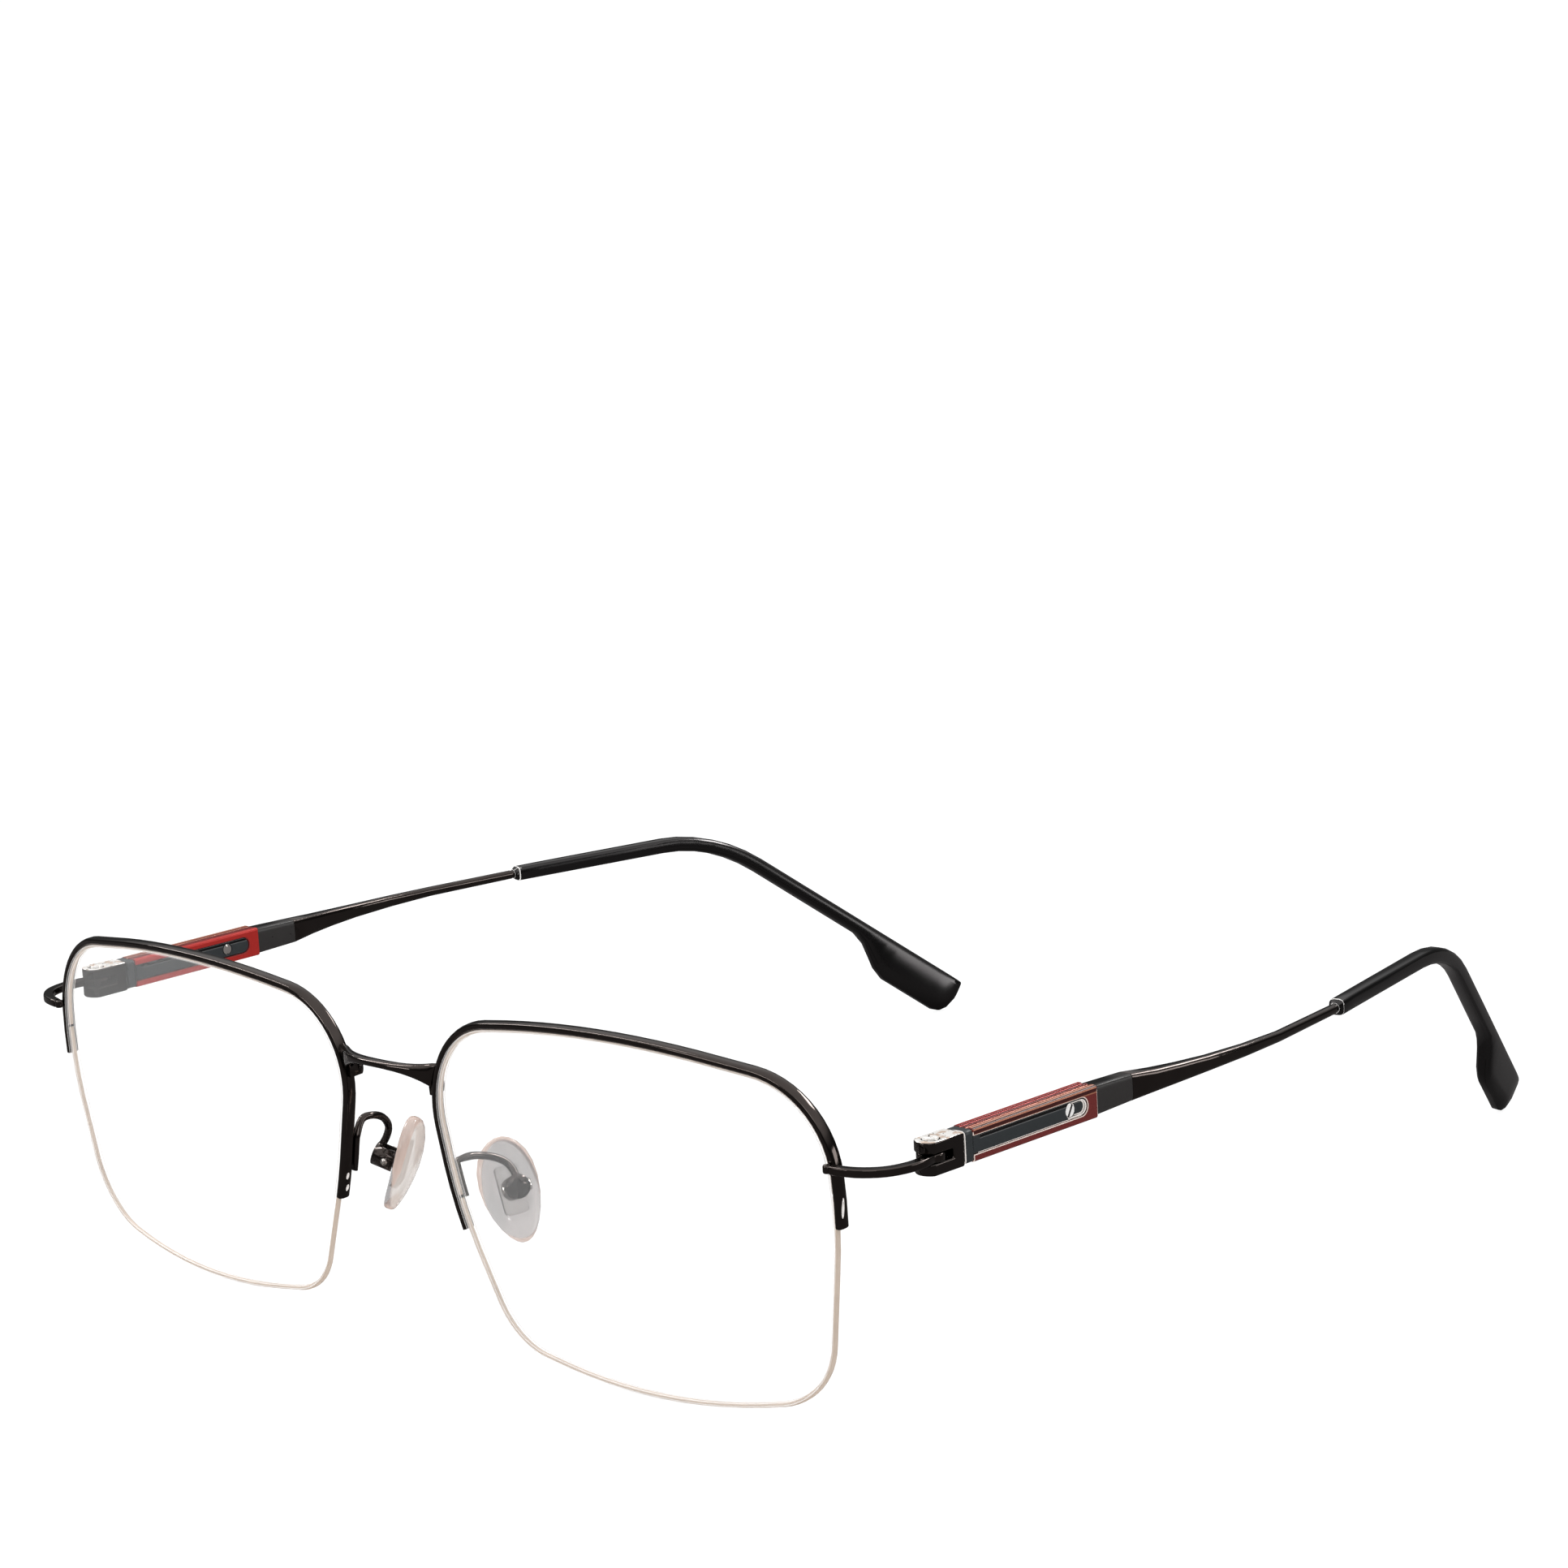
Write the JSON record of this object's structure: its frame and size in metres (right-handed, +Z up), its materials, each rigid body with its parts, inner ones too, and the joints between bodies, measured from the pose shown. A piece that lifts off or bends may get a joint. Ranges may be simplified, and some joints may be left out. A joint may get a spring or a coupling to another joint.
{
  "type": "eyeglasses",
  "caption": "Half rim eyeglasses: a curved black wire over clear lenses held below by nylon cord, spring hinges, red sleeved temples and black ear tips",
  "frame": {"origin": "Middle of the outer box from side to side and front to back, on the surface that the two lens bottoms and the two temple tips stand on", "axes": "+X to the right of someone facing the glasses, +Y back to the ears, +Z up"},
  "size_m": [0.1554, 0.161, 0.044],
  "materials": {
    "black_frame": "Glossy black nickel plate, dark warm reflections",
    "hinge_black": "Glossy black nickel plate, brighter on the worn top",
    "red_metal": "Glossy dark red enamel with copper glints",
    "core_black": "Smooth slate black enamel",
    "lens_clear": "Clear lens with a faint pale coating",
    "nylon": "Translucent nylon, slightly warm",
    "pad_clear": "Clear silicone with a pale warm edge",
    "pale_metal": "Plain nickel silver",
    "steel": "Polished steel",
    "tip_black": "Glossy black acetate"
  },
  "bodies": {
    "front": {"bridge": "black_frame", "right_rim": "black_frame", "left_rim": "black_frame", "right_lens": "lens_clear", "left_lens": "lens_clear", "right_rim_liner": "nylon", "left_rim_liner": "nylon", "right_lens_cord": "nylon", "left_lens_cord": "nylon", "right_end_piece": "black_frame", "left_end_piece": "black_frame", "right_pad_arm": "black_frame", "left_pad_arm": "black_frame", "right_pad_screw": "steel", "left_pad_screw": "steel"},
    "right_clevis": {"right_hinge_clevis": "hinge_black", "right_hinge_screw": "steel"},
    "right_temple": {"right_spring_bush": "pale_metal", "right_hinge_spring": "steel", "right_temple_sleeve": "red_metal", "right_temple_core": "core_black", "right_badge_disc": "steel", "right_core_screw": "steel", "right_temple_connector": "black_frame", "right_temple_shaft": "black_frame", "right_temple_tip": "tip_black"},
    "right_pad": {"right_pad_insert": "pale_metal", "right_nose_pad": "pad_clear"},
    "left_clevis": {"left_hinge_clevis": "hinge_black", "left_hinge_screw": "steel"},
    "left_temple": {"left_spring_bush": "pale_metal", "left_hinge_spring": "steel", "left_temple_sleeve": "red_metal", "left_temple_core": "core_black", "left_badge_disc": "steel", "left_core_screw": "steel", "left_temple_connector": "black_frame", "left_temple_shaft": "black_frame", "left_temple_tip": "tip_black"},
    "left_pad": {"left_pad_insert": "pale_metal", "left_nose_pad": "pad_clear"}
  },
  "joints": [
    {"name": "right_fold", "type": "hinge", "parent": "front", "child": "right_clevis", "pos_m": [0.0755, -0.06439, 0.03205], "axis": [0.0192, 0, 0.9998], "range_deg": [-8, 82]},
    {"name": "right_spring_slide", "type": "slide", "parent": "right_clevis", "child": "right_temple", "axis": [0, 1, 0], "range_m": [0, 0.0012], "stiffness_N_per_m": 1800, "springref_m": -0.0004, "deforming": ["right_hinge_spring"]},
    {"name": "right_pad_rock", "type": "hinge", "parent": "front", "child": "right_pad", "pos_m": [0.01162, -0.0692, 0.01888], "axis": [0.4201, 0.9017, 0.1024], "range_deg": [-8, 8]},
    {"name": "left_fold", "type": "hinge", "parent": "front", "child": "left_clevis", "pos_m": [-0.0755, -0.06439, 0.03205], "axis": [-0.0192, 0, -0.9998], "range_deg": [-8, 76]},
    {"name": "left_spring_slide", "type": "slide", "parent": "left_clevis", "child": "left_temple", "axis": [0, 1, 0], "range_m": [0, 0.0012], "stiffness_N_per_m": 1800, "springref_m": -0.0004, "deforming": ["left_hinge_spring"]},
    {"name": "left_pad_rock", "type": "hinge", "parent": "front", "child": "left_pad", "pos_m": [-0.01162, -0.0692, 0.01888], "axis": [-0.4201, 0.9017, 0.1024], "range_deg": [-8, 8]}
  ]
}
